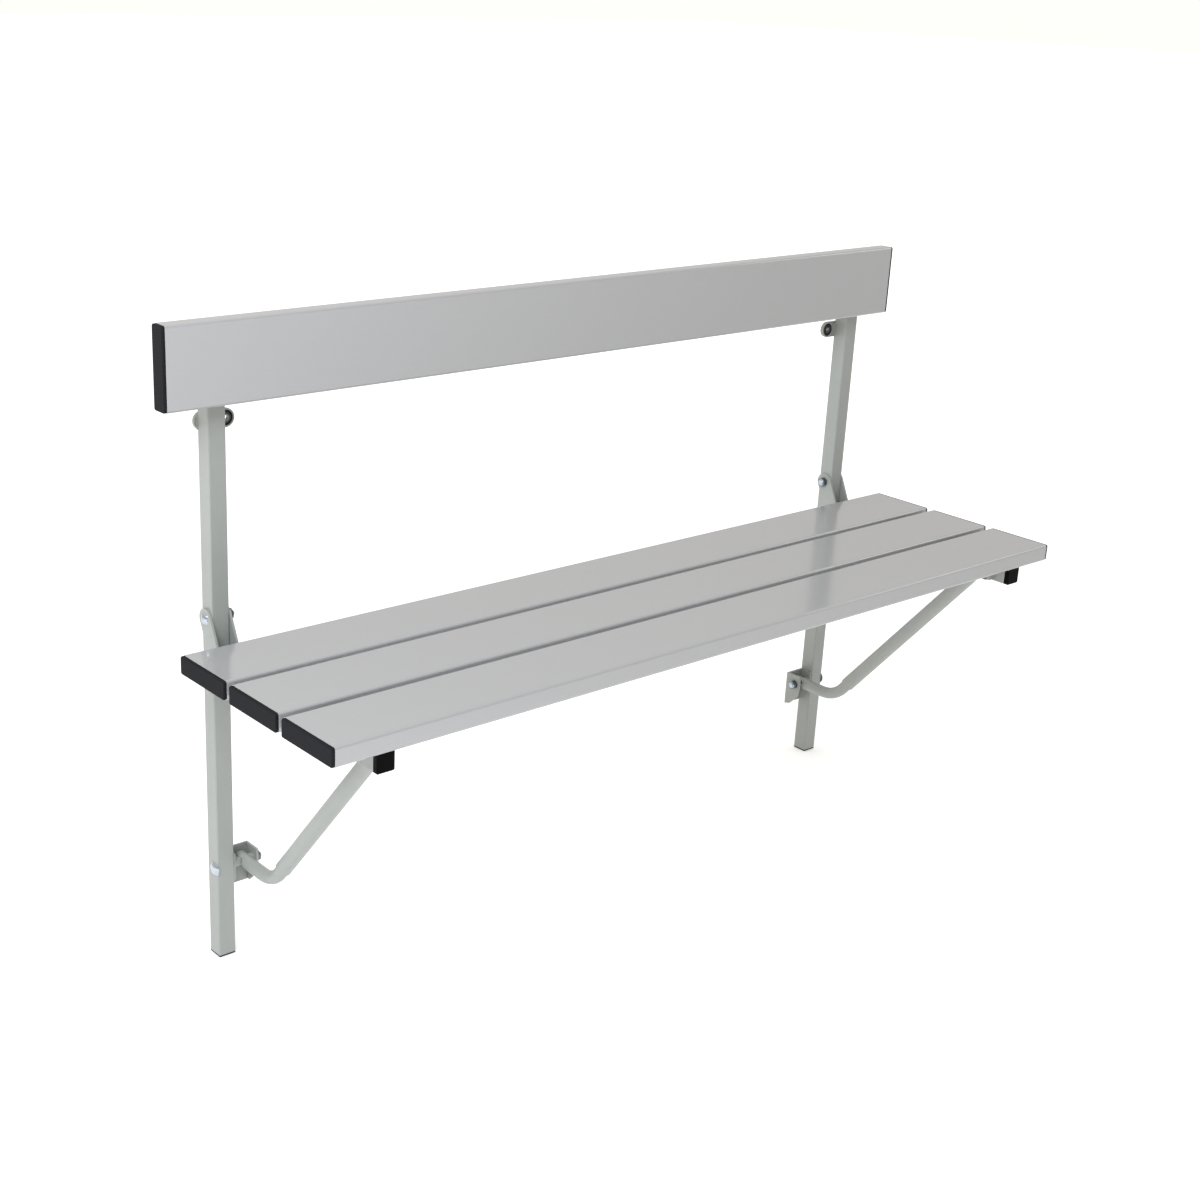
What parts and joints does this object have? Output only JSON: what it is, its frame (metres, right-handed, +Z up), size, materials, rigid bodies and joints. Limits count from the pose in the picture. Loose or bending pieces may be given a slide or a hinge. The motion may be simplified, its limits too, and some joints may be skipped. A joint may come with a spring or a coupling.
{
  "type": "wall-mounted bench",
  "caption": "Slatted bench with a backrest on wall-fixed posts; the seat folds up on hinges and its stays rest on catch bolts.",
  "frame": {"origin": "middle of the line between the two wall holes, on the face of the wall", "axes": "+X to the right along the bench as seen facing the wall, +Y into the wall, +Z up"},
  "size_m": [1.318, 0.392, 0.8655],
  "materials": {
    "frame_paint": "light grey powder coat, satin",
    "board_metal": "natural anodised, semi-gloss",
    "end_cap_plastic": "dark grey, fine texture",
    "tube_cap_plastic": "black, smooth",
    "bush_rubber": "black, matt",
    "zinc_steel": "bright zinc plate"
  },
  "bodies": {
    "frame": {"left_post": "frame_paint", "right_post": "frame_paint", "left_foot_cap": "tube_cap_plastic", "right_foot_cap": "tube_cap_plastic", "left_post_top_cap": "tube_cap_plastic", "right_post_top_cap": "tube_cap_plastic", "left_hinge_sleeve": "zinc_steel", "right_hinge_sleeve": "zinc_steel", "left_wall_strap": "frame_paint", "right_wall_strap": "frame_paint", "left_wall_bush": "bush_rubber", "right_wall_bush": "bush_rubber", "left_wall_sleeve": "zinc_steel", "right_wall_sleeve": "zinc_steel", "left_hinge_bolt": "zinc_steel", "right_hinge_bolt": "zinc_steel", "left_hinge_nut": "zinc_steel", "right_hinge_nut": "zinc_steel", "left_catch_bracket": "frame_paint", "right_catch_bracket": "frame_paint", "left_catch_bolt": "zinc_steel", "right_catch_bolt": "zinc_steel", "left_catch_nut": "zinc_steel", "right_catch_nut": "zinc_steel", "left_catch_sleeve": "frame_paint", "right_catch_sleeve": "frame_paint", "backrest_board": "board_metal", "backrest_cap_left": "end_cap_plastic", "backrest_cap_right": "end_cap_plastic", "backrest_screws": "zinc_steel"},
    "seat": {"left_bearer": "frame_paint", "right_bearer": "frame_paint", "left_bearer_front_cap": "tube_cap_plastic", "right_bearer_front_cap": "tube_cap_plastic", "left_bearer_rear_cap": "tube_cap_plastic", "right_bearer_rear_cap": "tube_cap_plastic", "left_hinge_plate_outer": "frame_paint", "right_hinge_plate_outer": "frame_paint", "left_hinge_plate_inner": "frame_paint", "right_hinge_plate_inner": "frame_paint", "left_stay_tube": "frame_paint", "right_stay_tube": "frame_paint", "left_stay_spacer": "frame_paint", "right_stay_spacer": "frame_paint", "left_stay_foot": "frame_paint", "right_stay_foot": "frame_paint", "seat_screws": "zinc_steel", "seat_board_front": "board_metal", "seat_cap_front_left": "end_cap_plastic", "seat_cap_front_right": "end_cap_plastic", "seat_board_middle": "board_metal", "seat_cap_middle_left": "end_cap_plastic", "seat_cap_middle_right": "end_cap_plastic", "seat_board_rear": "board_metal", "seat_cap_rear_left": "end_cap_plastic", "seat_cap_rear_right": "end_cap_plastic"}
  },
  "joints": [
    {"name": "seat_fold", "type": "hinge", "parent": "frame", "child": "seat", "pos_m": [0, -0.0175, -0.251], "axis": [-1, 0, 0], "range_deg": [0, 86]}
  ]
}
